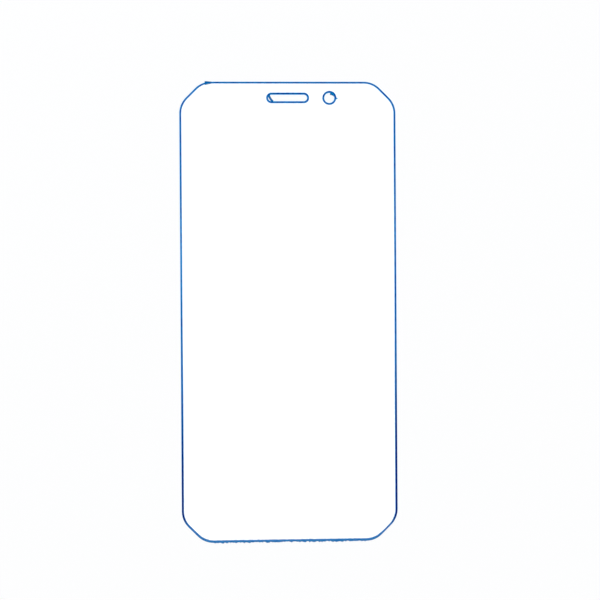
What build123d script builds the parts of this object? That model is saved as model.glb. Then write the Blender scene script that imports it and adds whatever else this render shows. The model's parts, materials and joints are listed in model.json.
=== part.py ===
"""Phone screen protector: one clear sheet with cut corners, an earpiece slot and a camera hole.

The sheet lies on its adhesive back. X runs across the phone, Y towards its top edge and Z out of
the screen. The origin is the middle of the back face.
"""

import os

from build123d import *

# The sheet, in millimetres
sheet_width = 70.0
sheet_height = 149.0
sheet_thickness = 0.4

# Each corner is cut off straight, and both ends of the cut are eased into the sides
corner_cut = 7.25
corner_blend = 7.25

# Earpiece slot and camera hole, on one line below the top edge
cutout_inset = 5.25
slot_length = 12.6
slot_width = 2.1
camera_diameter = 3.25
camera_offset = 13.5

# Ground rim of the outline: the front rolls over into a slope, which ends in a small nose
rim_reach = 0.36
rim_drop = 0.22
rim_roll = 0.7
rim_nose = 0.12

# Ground rim of the cut-outs: the same, shallower and with no nose
cutout_reach = 0.42
cutout_drop = 0.18
cutout_roll = 0.8

# Edge break round the back face
back_break = 0.05

cutout_y = sheet_height / 2 - cutout_inset

with BuildPart() as screen_protector:
    # The blank
    with BuildSketch() as outline:
        Rectangle(sheet_width, sheet_height)
        chamfer(outline.vertices(), corner_cut)
        fillet(outline.vertices(), corner_blend)
    extrude(amount=sheet_thickness)

    # The rim's slope, ground in from the front face
    front = screen_protector.faces().sort_by(Axis.Z)[-1]
    chamfer(front.edges(), rim_reach, rim_drop, reference=front)

    # By height, the edges are now those of the back, the side walls, the slope's foot, the slope
    # and the slope's head
    slope_foot = screen_protector.edges().group_by(Axis.Z)[2]
    fillet(slope_foot, rim_nose)
    slope_head = screen_protector.edges().group_by(Axis.Z)[-1]
    fillet(slope_head, rim_roll)

    # The cut-outs, ground in the same way
    with BuildSketch() as cutouts:
        with Locations((0, cutout_y)):
            SlotOverall(slot_length, slot_width)
        with Locations((camera_offset, cutout_y)):
            Circle(camera_diameter / 2)
    extrude(amount=sheet_thickness, mode=Mode.SUBTRACT)
    front = screen_protector.faces().sort_by(Axis.Z)[-1]
    chamfer(front.inner_wires().edges(), cutout_reach, cutout_drop, reference=front)
    front = screen_protector.faces().sort_by(Axis.Z)[-1]
    fillet(front.inner_wires().edges(), cutout_roll)

    # The back
    back = screen_protector.faces().sort_by(Axis.Z)[0]
    chamfer(back.edges(), back_break)

screen_protector.part.label = "screen_protector"

os.makedirs("parts", exist_ok=True)
export_step(screen_protector.part, "parts/screen_protector.step")
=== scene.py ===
"""Looks of a phone screen protector, laid out as a Blender add-on and run as a script.

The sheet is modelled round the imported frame, in metres: X across the phone, Y towards its top edge
and Z out of the screen, with the adhesive back at zero.
"""

import json
import math
import random
from types import SimpleNamespace

import bmesh
import bpy
from bpy.props import FloatProperty, FloatVectorProperty, PointerProperty
from mathutils import Matrix, Vector

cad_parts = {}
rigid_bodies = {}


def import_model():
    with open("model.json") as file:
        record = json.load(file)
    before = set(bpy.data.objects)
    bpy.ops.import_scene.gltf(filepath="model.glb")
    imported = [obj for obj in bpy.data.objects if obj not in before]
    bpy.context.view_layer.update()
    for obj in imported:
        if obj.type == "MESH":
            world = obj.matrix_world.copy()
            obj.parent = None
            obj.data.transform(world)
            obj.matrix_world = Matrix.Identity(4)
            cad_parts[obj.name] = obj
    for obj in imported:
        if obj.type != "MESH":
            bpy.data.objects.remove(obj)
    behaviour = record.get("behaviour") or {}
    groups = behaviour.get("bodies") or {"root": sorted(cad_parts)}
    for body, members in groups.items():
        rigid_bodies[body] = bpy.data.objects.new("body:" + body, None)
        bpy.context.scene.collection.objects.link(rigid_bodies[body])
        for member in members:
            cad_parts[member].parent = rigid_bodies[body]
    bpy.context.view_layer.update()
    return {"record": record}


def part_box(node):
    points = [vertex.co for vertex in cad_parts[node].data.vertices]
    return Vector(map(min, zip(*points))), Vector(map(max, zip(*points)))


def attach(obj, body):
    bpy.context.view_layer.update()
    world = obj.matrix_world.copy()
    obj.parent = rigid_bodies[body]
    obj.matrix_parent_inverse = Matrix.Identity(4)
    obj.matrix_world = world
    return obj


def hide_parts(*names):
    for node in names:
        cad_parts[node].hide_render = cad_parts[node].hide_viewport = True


bl_info = {
    "name": "Phone Screen Protector",
    "version": (1, 0, 0),
    "blender": (4, 5, 0),
    "location": "View3D > Sidebar > Protector",
    "description": "Models a clear phone screen protector with ground blue edges, on a white stage",
    "category": "Add Mesh",
}

MM = 0.001
RIGHT = Vector((1, 0, 0))
TOP = Vector((0, 1, 0))
UP = Vector((0, 0, 1))
WHITE = (1.0, 1.0, 1.0, 1.0)

NODE = "screen_protector"
BODY = "root"

# Vertices closer than this are one
TINY = 1e-6

# Turn from one facet to the next, round the outline's corners and round the cut-outs
CORNER_FACET = math.radians(3.75)
CUTOUT_FACET = math.radians(5.625)

# Facets in the rounded parts of a rim's section, in a burr's sides and in its soft edges
ROLL_FACETS = 6
NOSE_FACETS = 4
SLOT_BURR_FACETS = 12
HOLE_BURR_FACETS = 16
SOFT_FACETS = 2

# Faces that meet below the first angle are shaded smooth, and burrs are softened above the second
SMOOTH_ANGLE = math.radians(30)
SHARP_ANGLE = math.radians(40)

# Seed of the teeth along the bottom edge, and side of the floor in metres
TEETH_SEED = 3
FLOOR_SIZE = 8

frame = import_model()
sheet_low, sheet_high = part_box(NODE)
mounts = {mount["name"]: mount for mount in frame["record"]["mounts"]}
camera_hole = mounts["camera_hole"]


def length(name, description, millimetres):
    """A length that a user can change, given in millimetres."""
    return FloatProperty(
        name=name, description=description, default=millimetres * MM, precision=5, unit="LENGTH"
    )


def angle(name, description, degrees):
    """An angle that a user can change, given in degrees."""
    return FloatProperty(
        name=name, description=description, default=math.radians(degrees), unit="ROTATION"
    )


def place(name, description, *millimetres):
    """A place that a user can change, given in millimetres."""
    return FloatVectorProperty(
        name=name,
        description=description,
        default=[value * MM for value in millimetres],
        size=len(millimetres),
        precision=5,
        subtype="XYZ",
        unit="LENGTH",
    )


def colour(name, description, *levels):
    """A colour that a user can change, given as the levels from 0 to 255 that a screen shows."""

    def linear(level):
        share = level / 255
        return share / 12.92 if share <= 0.04045 else ((share + 0.055) / 1.055) ** 2.4

    return FloatVectorProperty(
        name=name,
        description=description,
        default=(*(linear(level) for level in levels), 1.0),
        size=4,
        min=0.0,
        max=1.0,
        subtype="COLOR",
    )


class SheetSizes(bpy.types.PropertyGroup):
    """Sizes of the sheet and of the ground rim round its outline."""

    width: length("Width", "Across the phone", (sheet_high.x - sheet_low.x) / MM)
    height: length("Height", "Along the phone", (sheet_high.y - sheet_low.y) / MM)
    thickness: length("Thickness", "Glass with its adhesive", (sheet_high.z - sheet_low.z) / MM)
    corner_cut: length("Corner cut", "Leg of the straight cut across each corner", 7.25)
    corner_blend: length("Corner blend", "Radius that eases the cut into both sides", 7.25)
    reach: length("Rim reach", "How far the rim's slope comes in from the outline", 0.36)
    drop: length("Rim drop", "How far the rim's slope falls below the front", 0.22)
    roll: length("Rim roll", "Radius from the front into the slope", 0.7)
    nose: length("Rim nose", "Radius from the slope into the side wall", 0.12)
    back_break: length("Back break", "Edge break round the back", 0.05)
    rough_step: length("Rough step", "From one tooth to the next along the rough bottom edge", 0.45)
    roughness: length("Roughness", "How far the bottom edge's teeth stand out, and twice how far in", 0.28)
    margin: length("Margin", "Width of the clear glass beside the rim that may take on its blue", 0.5)


class CutoutSizes(bpy.types.PropertyGroup):
    """Sizes of the earpiece slot, the camera hole and their rims."""

    slot_length: length("Slot length", "Earpiece slot, from end to end", 12.6)
    slot_width: length("Slot width", "Earpiece slot, across", 2.1)
    hole_radius: length("Hole radius", "Camera hole's wall", camera_hole["dims"]["r_mm"])
    hole_x: length("Hole across", "Camera hole, from the sheet's middle", camera_hole["pos_m"][0] / MM)
    line_y: length("Line height", "Slot and hole, from the sheet's middle", camera_hole["pos_m"][1] / MM)
    reach: length("Rim reach", "How far a cut-out's slope goes out from its wall", 0.42)
    drop: length("Rim drop", "How far a cut-out's slope falls below the front", 0.18)
    roll: length("Rim roll", "Radius from the front into a cut-out's slope", 0.8)
    nose: length("Rim nose", "Radius from a cut-out's slope into its wall", 0.0)
    margin: length("Margin", "Width of the clear glass beside a rim that may take on its blue", 0.5)


class BurrSizes(bpy.types.PropertyGroup):
    """Small burrs that the cutting left on the outline, in the slot and in the hole."""

    low: length("Low", "Underside of the burrs", 0.08)
    high: length("High", "Upper side of the burrs", 0.3)
    soft: length("Softness", "Rounding of the burrs' edges", 0.03)
    lip_start: place("Lip start", "Blunt end of the lip, from the upper left corner", 8.25, 0.17)
    lip_run: length("Lip length", "From the blunt end to the tip", 2.2)
    lip_depth: length("Lip depth", "From the lip's outer side to where it roots", 1.25)
    slot_centre: place("Slot arc centre", "Centre of the slot's burr, from the slot's middle", -2.56, 1.63)
    slot_radius: length("Slot arc radius", "Middle of the slot's burr", 3.55)
    slot_width: length("Slot burr width", "Across the slot's burr", 0.68)
    slot_from: angle("Slot arc start", "Upper end of the slot's burr", 191)
    slot_turn: angle("Slot arc turn", "From the upper to the lower end", 40)
    hole_centre: place("Hole arc centre", "Centre of its inner side, from the hole's middle", -0.04, -1.36)
    hole_radius: length("Hole arc radius", "Inner side of the hole's burr", 2.4)
    hole_from: angle("Hole arc start", "Pointed end of the hole's burr", 46)
    hole_turn: angle("Hole arc turn", "From the pointed to the blunt end", 38)
    nick: place("Nick", "Nick in the front beside the hole, from the hole's middle", 2.44, -0.17)
    nick_radius: length("Nick radius", "Half across the nick", 0.28)
    smear: place("Smear", "Middle of the smear round the hole, from the hole's middle", 0.09, 0.09)
    smear_radius: length("Smear radius", "Half across the smear", 2.2)


class Finish(bpy.types.PropertyGroup):
    """Colours of the clear glass and of its ground edges."""

    clear: colour("Clear", "Tint of the clear glass", 254, 255, 255)
    blue: colour("Blue", "Ground edges", 0, 106, 184)
    # Azure also paints light on the edges, more of it towards the top
    azure: colour("Azure", "Bright borders of the edges", 0, 180, 248)
    cobalt: colour("Cobalt", "Dark middle of the edges", 0, 10, 138)
    # Navy also paints shade on the lower ends of both long sides
    navy: colour("Navy", "Dark ends of both long sides, dark grains and burrs", 0, 4, 106)
    slate: colour("Slate", "Duller edge along the bottom", 52, 127, 190)


class Stage(bpy.types.PropertyGroup):
    """Camera, lamps, floor and surroundings."""

    lens: FloatProperty(name="Lens", description="Focal length in millimetres", default=85.0)
    camera_place: place("Camera place", "Where the camera stands", -17.63, 5.94, 458.56)
    camera_aim: place("Camera aim", "What the camera points at", 3.61, 3.84, 0.3)
    camera_roll: angle("Camera roll", "Turn of the camera about its view", -0.348)
    key_place: place("Key lamp place", "Where the brighter soft lamp stands", -900, 900, 1600)
    key_power: FloatProperty(name="Key lamp power", description="In watts", default=18.8)
    fill_place: place("Fill lamp place", "Where the dimmer soft lamp stands", 1000, -800, 1600)
    fill_power: FloatProperty(name="Fill lamp power", description="In watts", default=13.6)
    lamp_size: length("Lamp size", "Side of both soft lamps", 1200)
    floor_drop: length("Floor drop", "Air between the sheet's back and the floor", 0.02)
    floor: colour("Floor", "Colour of the floor", 255, 255, 255)
    horizon: colour("Horizon", "Surroundings, at the floor", 238, 241, 245)
    flag: colour("Flag", "Surroundings, a little above the floor", 150, 160, 175)


class Signal:
    """An output of a shader node. An expression on it adds Math nodes."""

    def __init__(self, tree, socket=None):
        self.tree = tree
        self.socket = socket

    def node(self, kind, settings=None, inputs=None, output=0):
        """Adds a node of a kind, with its settings and then its inputs, and gives one of its outputs."""
        made = self.tree.nodes.new(kind)
        for name, value in (settings or {}).items():
            setattr(made, name, value)
        for name, value in (inputs or {}).items():
            if isinstance(value, Signal):
                self.tree.links.new(value.socket, made.inputs[name])
            else:
                made.inputs[name].default_value = value
        return Signal(self.tree, made.outputs[output] if made.outputs else None)

    def maths(self, operation, first, second):
        """Adds a Math node on two values, of which either may be a number."""
        return self.node("ShaderNodeMath", {"operation": operation}, {0: first, 1: second})

    def __add__(self, other):
        return self.maths("ADD", self, other)

    def __sub__(self, other):
        return self.maths("SUBTRACT", self, other)

    def __mul__(self, other):
        return self.maths("MULTIPLY", self, other)

    def __or__(self, other):
        return self.maths("MAXIMUM", self, other)

    def __radd__(self, other):
        return self.maths("ADD", other, self)

    def __rsub__(self, other):
        return self.maths("SUBTRACT", other, self)

    def __rmul__(self, other):
        return self.maths("MULTIPLY", other, self)

    def __abs__(self):
        return self.node("ShaderNodeMath", {"operation": "ABSOLUTE"}, {0: self})

    def between(self, low, high):
        """Zero up to low and one from high on, with a soft step between them."""
        return self.node(
            "ShaderNodeMapRange",
            {"interpolation_type": "SMOOTHSTEP"},
            {"Value": self, "From Min": low, "From Max": high},
        )

    def paint(self, below, above):
        """A mix of two colours, by this value."""
        return self.node("ShaderNodeMix", {"data_type": "RGBA"}, {0: self, 6: below, 7: above}, 2)


def new_material(name):
    """An empty material, and the signal that its nodes are added from."""
    material = bpy.data.materials.new(name)
    material.use_nodes = True
    material.node_tree.nodes.clear()
    return material, Signal(material.node_tree)


def mottle(graph, spot, *grains):
    """Soft noise round a half, with so many grains to the millimetre along X, Y and Z."""
    scaled = graph.node(
        "ShaderNodeVectorMath", {"operation": "MULTIPLY"}, {0: spot, 1: [grain / MM for grain in grains]}
    )
    return graph.node("ShaderNodeTexNoise", inputs={"Vector": scaled, "Scale": 1.0, "Detail": 2.0})


def whereabouts(graph, sheet):
    """A spot, its depth in from the edge, and shares from 0 to 1 for the sides that it is on."""
    spot = graph.node("ShaderNodeTexCoord", output="Object")
    across = graph.node("ShaderNodeSeparateXYZ", inputs={0: spot}, output="X")
    along = graph.node("ShaderNodeSeparateXYZ", inputs={0: spot}, output="Y")
    side = sheet.width / 2
    end = sheet.height / 2
    right = across.between(-side, side)
    top = along.between(end - 2 * MM, end - 1 * MM)
    bottom = 1 - along.between(1 * MM - end, 4 * MM - end)
    low_corners = 1 - along.between(4.5 * MM - end, 8.5 * MM - end)
    near_top = along.between(end - 10 * MM, end - 9 * MM)
    beside_cutouts = abs(across).between(18 * MM, 20 * MM)
    return SimpleNamespace(
        spot=spot,
        depth=graph.node("ShaderNodeAttribute", {"attribute_name": "depth"}, output="Fac"),
        right=right,
        long_side=abs(across).between(side - 3 * MM, side - 0.8 * MM),
        low=1 - along.between(-35 * MM, 5 * MM),
        # Lower ends of the long sides, reaching higher on the right, where navy paints shade
        shaded_end=1 - (along - 12 * MM * right).between(-60 * MM, -14 * MM),
        top=top,
        cutouts=near_top * (1 - (top | beside_cutouts)),
        bottom=bottom,
        low_corners=low_corners,
        cut_corners=low_corners * (1 - bottom),
    )


def edge_colour(graph, finish, where, pale):
    """Blues of the edges: azure borders and more azure towards the top as painted light, a cobalt middle
    that is deeper on the right as painted shade, navy low down on the long sides as painted shade, and
    slate along the bottom.
    """
    stretches = mottle(graph, where.spot, 0.03, 0.03, 0.03).between(0.5, 0.7)
    flecks = mottle(graph, where.spot, 0.9, 0.9, 0.9).between(0.48, 0.66)
    middle = where.depth.between(0.15, 0.45) * (1 - where.depth.between(0.75, 1.05))
    wide_middle = where.depth.between(0.05, 0.3) * (1 - where.depth.between(0.95, 1.2))
    # The body turns more azure towards the top: painted light from above
    body = (stretches | 0.75 - 0.3 * where.low | pale).paint(finish.blue, finish.azure)
    # Navy on the lower ends of the long sides is painted shade
    shaded_sides = where.long_side * where.shaded_end
    # The core is deeper on the right: painted shade
    core = (0.72 + 0.1 * where.right - 0.3 * stretches + 0.3 * flecks - 0.05 * where.cutouts) * middle
    sides = (shaded_sides * wide_middle).paint(core.paint(body, finish.cobalt), finish.navy)
    dull = where.low_corners * (1 - 0.4 * flecks) * (1 - 0.4 * where.cut_corners)
    return dull.paint(sides, finish.slate)


def clear_finish(finish, sheet, hole, stains):
    """Clear polished glass, stained with the edges' blue beside them, which lets lamps through. The stain
    is wider low down, on the right and along the bottom as painted shade, and narrower along the top as
    painted light.
    """
    material, graph = new_material("clear_glass")
    where = whereabouts(graph, sheet)

    def within(middle, radius, blur):
        """One inside a radius round a spot and zero outside it, with a soft step of a blur each way."""
        distance = graph.node(
            "ShaderNodeVectorMath", {"operation": "DISTANCE"}, {0: where.spot, 1: middle}, "Value"
        )
        return 1 - distance.between(radius - blur, radius + blur)

    # The bands add up to the depth at which the stain ends, where 1 is the inner end of the rim. Its reach
    # grows low down, on the right and along the bottom as painted shade, and shrinks along the top as
    # painted light.
    # Extra reach low down, and on the right, as painted shade
    low_shade_band = 0.17 + (0.04 - 0.32 * where.cut_corners) * where.right
    side_band = 1.15 + 0.04 * where.right + low_shade_band * where.low
    ragged = (0.15 + 0.7 * where.bottom) * (mottle(graph, where.spot, 1.6, 1.6, 1.6) - 0.5)
    cutouts_band = 0.03 * where.cutouts + 0.07 * within(hole, 4 * MM, 0.5 * MM)
    # Wider along the bottom as painted shade, narrower along the top as painted light, and narrower by the
    # cut-outs
    ends_band = 0.17 * where.bottom - 0.08 * where.top - cutouts_band
    band = side_band + ends_band + ragged
    edge_blue = edge_colour(graph, finish, where, pale=0.0)
    tint = (where.depth - band).between(-0.1, 0.1).paint(edge_blue, finish.clear)
    for middle, radius in stains:
        stain = within(middle, radius, 0.05 * MM) * where.depth.between(1.0, 1.1)
        tint = stain.paint(tint, finish.blue)
    smudge = mottle(graph, where.spot, 0.06, 0.06, 0.06)
    glass = graph.node(
        "ShaderNodeBsdfPrincipled",
        inputs={
            "Base Color": tint,
            "Roughness": 0.03 * smudge.between(0.45, 0.75),
            "IOR": 1.5,
            "Transmission Weight": 1.0,
        },
    )
    open_way = graph.node("ShaderNodeBsdfTransparent")
    shadow = graph.node("ShaderNodeLightPath", output="Is Shadow Ray")
    shader = graph.node("ShaderNodeMixShader", inputs={0: shadow, 1: glass, 2: open_way})
    graph.node("ShaderNodeOutputMaterial", inputs={"Surface": shader})
    return material


def edge_finish(name, finish, sheet, shade):
    """Ground glass edge: matt, with a fine grain and streaks along the rim, and shaded with navy."""
    material, graph = new_material(name)
    where = whereabouts(graph, sheet)
    grain = mottle(graph, where.spot, 9, 9, 9)
    streaks = mottle(graph, where.spot, 0.5, 0.5, 40)
    bump = graph.node(
        "ShaderNodeBump", inputs={"Strength": 0.3, "Distance": 0.01 * MM, "Height": grain + streaks}
    )
    pale = 0.8 * streaks.between(0.45, 0.65) | 0.9 * grain.between(0.52, 0.65)
    dark = 0.4 * (1 - grain.between(0.35, 0.48)) | shade
    ground = graph.node(
        "ShaderNodeBsdfPrincipled",
        inputs={
            "Base Color": dark.paint(edge_colour(graph, finish, where, pale), finish.navy),
            "Roughness": 0.25 + 0.3 * grain,
            "IOR": 1.5,
            "Specular IOR Level": 0.03,
            "Normal": bump,
        },
    )
    graph.node("ShaderNodeOutputMaterial", inputs={"Surface": ground})
    return material


def new_piece(name):
    """A new empty mesh object at the origin, in edit mode."""
    bpy.ops.object.select_all(action="DESELECT")
    bpy.ops.object.add(type="MESH", enter_editmode=True)
    piece = bpy.context.object
    piece.name = name
    piece.data.name = name
    return piece


def finish_piece(piece):
    """Closes the edit of a piece, tests that it is watertight, and fixes it to the frame."""
    bpy.ops.mesh.select_all(action="SELECT")
    bpy.ops.mesh.normals_make_consistent(inside=False)
    shape = bmesh.from_edit_mesh(piece.data)
    if not all(edge.is_manifold for edge in shape.edges):
        raise RuntimeError(f"{piece.name} isn't closed")
    bpy.ops.object.mode_set(mode="OBJECT")
    bpy.ops.object.shade_smooth_by_angle(angle=SMOOTH_ANGLE)
    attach(piece, BODY)


def pick(kind, test):
    """Selects the vertices, edges or faces of the edited mesh that pass a test, and nothing else."""
    bpy.ops.mesh.select_all(action="DESELECT")
    mesh = bpy.context.object.data
    for item in getattr(bmesh.from_edit_mesh(mesh), kind):
        if test(item):
            item.select_set(True)
    bmesh.update_edit_mesh(mesh)


def draw_point(spot):
    """Draws one vertex and leaves it selected."""
    bpy.ops.mesh.select_all(action="DESELECT")
    bpy.ops.mesh.primitive_plane_add(size=MM, location=spot)
    bpy.ops.mesh.merge(type="CENTER")


def draw_chain(spots):
    """Draws a chain of edges and leaves it selected."""
    draw_point(spots[0])
    for start, end in zip(spots, spots[1:]):
        bpy.ops.mesh.extrude_vertices_move(TRANSFORM_OT_translate={"value": end - start})
    bpy.ops.mesh.select_linked()


def spoke(turn, radius):
    """A vector of a length, turned to the left from the right."""
    return Matrix.Rotation(turn, 3, UP) @ RIGHT * radius


def draw_arc(centre, radius, start, turn, steps):
    """Draws an arc, from a start angle on to the left."""
    draw_point(centre + spoke(start, radius))
    bpy.ops.mesh.spin(steps=steps, angle=-turn, center=centre, axis=UP)


def ease(corner, reach, segments):
    """Rounds a chain at a corner, from a reach before it to the same reach after it."""
    pick("verts", lambda vertex: (vertex.co - corner).length < TINY)
    bpy.ops.mesh.bevel(offset_type="ABSOLUTE", offset=reach, segments=segments, affect="VERTICES")
    bpy.ops.mesh.select_linked()


def mark_depth(start, inward, rim_end):
    """Marks the selected chain with its depth: 0 at the edge, 1 where the rim ends, and more beyond."""
    mesh = bpy.context.object.data
    shape = bmesh.from_edit_mesh(mesh)
    layer = shape.verts.layers.float.get("depth") or shape.verts.layers.float.new("depth")
    for vertex in shape.verts:
        if vertex.select:
            vertex[layer] = (vertex.co - start).dot(inward) / rim_end
    bmesh.update_edit_mesh(mesh)


def sweep(spot, heading, steps, facet):
    """Carries the selected chain along straight runs, in parts, with a turn to the left after each."""
    for run, parts, radius, turn in steps:
        for _ in range(parts):
            bpy.ops.mesh.extrude_edges_move(TRANSFORM_OT_translate={"value": heading * run / parts})
        centre = spot + heading * run + UP.cross(heading) * radius
        bpy.ops.mesh.spin(steps=round(turn / facet), angle=-turn, center=centre, axis=UP)
        heading = Matrix.Rotation(turn, 3, UP) @ heading
        spot = centre - UP.cross(heading) * radius


def draw_rim(start, inward, sheet, rim):
    """Draws the section of a ground rim, from the front over the edge to the back."""

    def at(depth, height):
        return start + inward * depth + UP * height

    slope = math.atan2(rim.drop, rim.reach)
    roll_reach = rim.roll * math.tan(slope / 2)
    nose_reach = rim.nose * math.tan((math.pi / 2 - slope) / 2)
    rim_end = rim.reach + roll_reach
    clear = rim_end + rim.margin
    head = at(rim.reach, sheet.thickness)
    foot = at(0, sheet.thickness - rim.drop)
    wall_end = at(0, sheet.back_break)
    back_start = at(sheet.back_break, 0)
    back = [back_start, at(rim_end, 0), at(clear, 0)]
    draw_chain([at(clear, sheet.thickness), head, foot, wall_end, *back])
    ease(head, roll_reach, ROLL_FACETS)
    if rim.nose > 0:
        ease(foot, nose_reach, NOSE_FACETS)
    mark_depth(start, inward, rim_end)


def roughen_bottom(sheet, left, run, parts):
    """Moves the sections of the bottom edge a little in and out, as a rough cut leaves them."""
    chance = random.Random(TEETH_SEED)
    outer = sheet.nose - sheet.height / 2
    for part in range(1, parts):
        across = left + run * part / parts
        pick("verts", lambda vertex: abs(vertex.co.x - across) < TINY and vertex.co.y < outer)
        bpy.ops.transform.translate(value=TOP * chance.uniform(-sheet.roughness, sheet.roughness / 2))


def outline_rim(sheet):
    """Sweeps the rim round the outline of the sheet, with its cut and eased corners."""
    eighth = math.radians(45)
    tangent = sheet.corner_blend * math.tan(eighth / 2)
    cut_run = sheet.corner_cut * math.sqrt(2) - 2 * tangent
    width_run = sheet.width - 2 * (sheet.corner_cut + tangent)
    height_run = sheet.height - 2 * (sheet.corner_cut + tangent)
    start = Vector((-width_run / 2, -sheet.height / 2, 0))
    draw_rim(start, TOP, sheet, sheet)
    rough_parts = round(width_run / sheet.rough_step)
    runs = [width_run, cut_run, height_run, cut_run] * 2
    parts = [rough_parts] + [1] * 7
    steps = [(run, count, sheet.corner_blend, eighth) for run, count in zip(runs, parts)]
    sweep(start, RIGHT, steps, CORNER_FACET)
    roughen_bottom(sheet, start.x, width_run, rough_parts)


def cutout_rim(sheet, cutouts, centre_x, run, radius):
    """Sweeps a rim round a slot, or round a hole where the run is nothing."""
    start = Vector((centre_x - run / 2, cutouts.line_y - radius, 0))
    draw_rim(start, -TOP, sheet, cutouts)
    sweep(start, RIGHT, [(run, int(run > 0), radius, math.pi)] * 2, CUTOUT_FACET)


def close_flat(height):
    """Fills the clear face at a height, between the rims that end there."""
    pick(
        "edges",
        lambda edge: edge.is_boundary and all(abs(vertex.co.z - height) < TINY for vertex in edge.verts),
    )
    bpy.ops.mesh.fill(use_beauty=True)


class MakeSheet(bpy.types.Operator):
    """Model the sheet with its ground rims, its slot and its hole"""

    bl_idname = "protector.make_sheet"
    bl_label = "Make sheet"
    bl_options = {"REGISTER", "UNDO"}

    def execute(self, context):
        sheet = context.scene.protector_sheet
        cutouts = context.scene.protector_cutouts
        burrs = context.scene.protector_burrs
        finish = context.scene.protector_finish
        hole = Vector((cutouts.hole_x, cutouts.line_y, sheet.thickness))
        stains = [
            (hole + Vector((*burrs.nick, 0)), burrs.nick_radius),
            (hole + Vector((*burrs.smear, 0)), burrs.smear_radius),
        ]
        piece = new_piece("sheet")
        piece.data.materials.append(clear_finish(finish, sheet, hole, stains))
        piece.data.materials.append(edge_finish("ground_edge", finish, sheet, shade=0.0))
        outline_rim(sheet)
        cutout_rim(sheet, cutouts, 0, cutouts.slot_length - cutouts.slot_width, cutouts.slot_width / 2)
        cutout_rim(sheet, cutouts, cutouts.hole_x, 0, cutouts.hole_radius)
        bpy.ops.mesh.select_all(action="SELECT")
        bpy.ops.mesh.remove_doubles(threshold=TINY)
        close_flat(sheet.thickness)
        close_flat(0)
        inside = (TINY, sheet.thickness - TINY)
        pick("faces", lambda face: any(inside[0] < vertex.co.z < inside[1] for vertex in face.verts))
        piece.active_material_index = 1
        bpy.ops.object.material_slot_assign()
        finish_piece(piece)
        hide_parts(NODE)
        return {"FINISHED"}


def raise_burr(piece, burrs, material):
    """Closes the strip between a burr's two sides, and gives it its thickness and soft edges."""
    bpy.ops.mesh.select_all(action="SELECT")
    bpy.ops.mesh.bridge_edge_loops()
    bpy.ops.mesh.extrude_region_move(TRANSFORM_OT_translate={"value": UP * (burrs.high - burrs.low)})
    bpy.ops.mesh.select_all(action="SELECT")
    bpy.ops.mesh.normals_make_consistent(inside=False)
    bpy.ops.mesh.select_all(action="DESELECT")
    bpy.ops.mesh.edges_select_sharp(sharpness=SHARP_ANGLE)
    bpy.ops.mesh.bevel(offset=burrs.soft, segments=SOFT_FACETS, affect="EDGES")
    piece.data.materials.append(material)
    finish_piece(piece)


class MakeBurrs(bpy.types.Operator):
    """Model the three small burrs that the cutting left"""

    bl_idname = "protector.make_burrs"
    bl_label = "Make burrs"
    bl_options = {"REGISTER", "UNDO"}

    def execute(self, context):
        burrs = context.scene.protector_burrs
        sheet = context.scene.protector_sheet
        cutouts = context.scene.protector_cutouts
        finish = context.scene.protector_finish
        material = edge_finish("burr_edge", finish, sheet, shade=0.65)
        base = UP * burrs.low

        piece = new_piece("corner_burr")
        corner = Vector((-sheet.width / 2, sheet.height / 2, 0)) + base
        outer = corner + Vector((*burrs.lip_start, 0))
        tip = outer + RIGHT * burrs.lip_run - TOP * burrs.lip_start[1]
        draw_chain([outer, tip])
        draw_chain([outer - TOP * burrs.lip_depth, tip - TOP * burrs.lip_depth / 2])
        raise_burr(piece, burrs, material)

        piece = new_piece("slot_burr")
        centre = Vector((burrs.slot_centre[0], cutouts.line_y + burrs.slot_centre[1], 0)) + base
        for side in (-0.5, 0.5):
            radius = burrs.slot_radius + side * burrs.slot_width
            draw_arc(centre, radius, burrs.slot_from, burrs.slot_turn, SLOT_BURR_FACETS)
        raise_burr(piece, burrs, material)

        piece = new_piece("hole_burr")
        middle = Vector((cutouts.hole_x, cutouts.line_y, 0)) + base
        offset = Vector((*burrs.hole_centre, 0))
        ends = [offset + spoke(burrs.hole_from + turn, burrs.hole_radius) for turn in (0, burrs.hole_turn)]
        first, last = (math.atan2(end.y, end.x) for end in ends)
        draw_arc(middle + offset, burrs.hole_radius, burrs.hole_from, burrs.hole_turn, HOLE_BURR_FACETS)
        draw_arc(middle, cutouts.hole_radius + burrs.soft, first, last - first, HOLE_BURR_FACETS)
        raise_burr(piece, burrs, material)
        return {"FINISHED"}


def floor_finish(stage):
    """White floor that keeps a soft shadow."""
    material, graph = new_material("white_floor")
    rays = ("Is Camera Ray", "Is Glossy Ray", "Is Transmission Ray")
    camera, glossy, through = (graph.node("ShaderNodeLightPath", output=ray) for ray in rays)
    matt = graph.node("ShaderNodeBsdfDiffuse", inputs={"Color": stage.floor})
    plain = graph.node("ShaderNodeEmission", inputs={"Color": stage.floor, "Strength": 1.0})
    glow = 0.7 * (camera | glossy | through)
    shader = graph.node("ShaderNodeMixShader", inputs={0: glow, 1: matt, 2: plain})
    graph.node("ShaderNodeOutputMaterial", inputs={"Surface": shader})
    return material


def surroundings(stage):
    """White surroundings with a grey band above a pale horizon, which the glass mirrors in low views."""
    world = bpy.data.worlds.new("studio")
    world.use_nodes = True
    world.node_tree.nodes.clear()
    graph = Signal(world.node_tree)
    way = graph.node("ShaderNodeTexCoord", output="Generated")
    rise = graph.node("ShaderNodeSeparateXYZ", inputs={0: way}, output="Z")
    matt = graph.node("ShaderNodeLightPath", output="Is Diffuse Ray")
    band = rise.between(0, 0.3).paint(stage.horizon, stage.flag)
    sky = graph.node(
        "ShaderNodeBackground",
        inputs={"Color": rise.between(0.35, 0.9).paint(band, WHITE), "Strength": 1 - 0.45 * matt},
    )
    graph.node("ShaderNodeOutputWorld", inputs={"Surface": sky})
    return world


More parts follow.
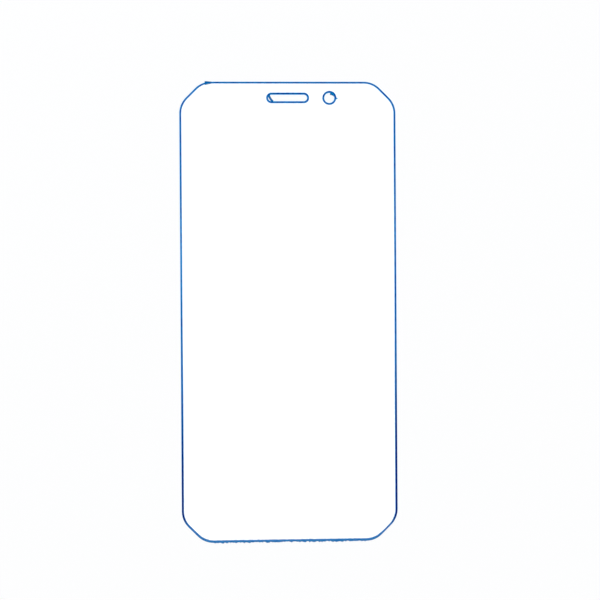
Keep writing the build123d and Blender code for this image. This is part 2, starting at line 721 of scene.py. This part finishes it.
def aim(subject, spot, target, top):
    """Stands a camera or a lamp at a spot, pointing at a target, with a direction as its top."""
    back = (spot - target).normalized()
    side = top.cross(back).normalized()
    subject.location = spot
    subject.rotation_euler = Matrix((side, back.cross(side), back)).transposed().to_euler()


class SetStage(bpy.types.Operator):
    """Set up the floor, the lamps, the surroundings and the camera"""

    bl_idname = "protector.set_stage"
    bl_label = "Set stage"
    bl_options = {"REGISTER", "UNDO"}

    def execute(self, context):
        stage = context.scene.protector_stage
        bpy.ops.object.select_all(action="DESELECT")
        bpy.ops.mesh.primitive_plane_add(size=FLOOR_SIZE, location=-UP * stage.floor_drop)
        floor = context.object
        floor.name = "floor"
        floor.data.materials.append(floor_finish(stage))
        context.scene.world = surroundings(stage)

        for name, spot, power in (
            ("key_lamp", stage.key_place, stage.key_power),
            ("fill_lamp", stage.fill_place, stage.fill_power),
        ):
            bpy.ops.object.light_add(type="AREA")
            lamp = context.object
            lamp.name = name
            lamp.data.energy = power
            lamp.data.size = stage.lamp_size
            aim(lamp, Vector(spot), Vector((0, 0, 0)), UP)

        bpy.ops.object.camera_add()
        camera = context.object
        camera.name = "photo_camera"
        camera.data.lens = stage.lens
        top = Matrix.Rotation(stage.camera_roll, 3, UP) @ TOP
        aim(camera, Vector(stage.camera_place), Vector(stage.camera_aim), top)
        context.scene.camera = camera
        context.scene.view_settings.view_transform = "Standard"
        return {"FINISHED"}


class ProtectorPanel(bpy.types.Panel):
    """Sizes and colours of the screen protector, and the steps that make it"""

    bl_idname = "VIEW3D_PT_protector"
    bl_label = "Screen protector"
    bl_space_type = "VIEW_3D"
    bl_region_type = "UI"
    bl_category = "Protector"

    def draw(self, context):
        for operator in OPERATORS:
            self.layout.operator(operator.bl_idname)
        for name, kind in GROUPS.items():
            box = self.layout.box()
            for field in kind.__annotations__:
                box.prop(getattr(context.scene, name), field)


GROUPS = {
    "protector_sheet": SheetSizes,
    "protector_cutouts": CutoutSizes,
    "protector_burrs": BurrSizes,
    "protector_finish": Finish,
    "protector_stage": Stage,
}
OPERATORS = (MakeSheet, MakeBurrs, SetStage)
CLASSES = (*GROUPS.values(), *OPERATORS, ProtectorPanel)


def register():
    for kind in CLASSES:
        bpy.utils.register_class(kind)
    for name, kind in GROUPS.items():
        setattr(bpy.types.Scene, name, PointerProperty(type=kind))


def unregister():
    for name in GROUPS:
        delattr(bpy.types.Scene, name)
    for kind in reversed(CLASSES):
        bpy.utils.unregister_class(kind)


def main():
    register()
    bpy.ops.protector.make_sheet()
    bpy.ops.protector.make_burrs()
    bpy.ops.protector.set_stage()


if __name__ == "__main__":
    main()
